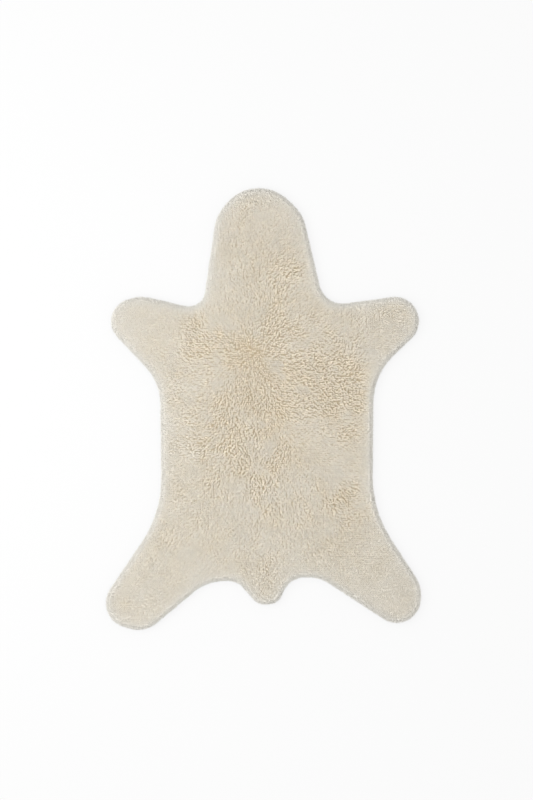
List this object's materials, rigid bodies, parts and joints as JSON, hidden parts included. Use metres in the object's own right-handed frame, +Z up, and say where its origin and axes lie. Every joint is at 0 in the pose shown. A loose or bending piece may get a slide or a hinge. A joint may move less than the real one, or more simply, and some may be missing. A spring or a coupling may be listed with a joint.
{
  "type": "bear shaped kids rug",
  "caption": "Flat wool rug cut to the rounded outline of a spread bear hide, with a dense combed pile that rolls over its edge and a plain flat underside.",
  "frame": {"origin": "middle of the rug's length and width, on the ground under it", "axes": "+Y along the rug from tail to head, +X across it to the right as seen from above with the head away, +Z up out of the pile"},
  "size_m": [1, 1.4, 0.025],
  "materials": {
    "wool_pile": "matt undyed cream wool yarn, cut pile, combed into locks",
    "cotton_backing": "matt plain woven unbleached cotton, on the underside"
  },
  "bodies": {
    "root": {"rug": "wool_pile"}
  },
  "joints": []
}
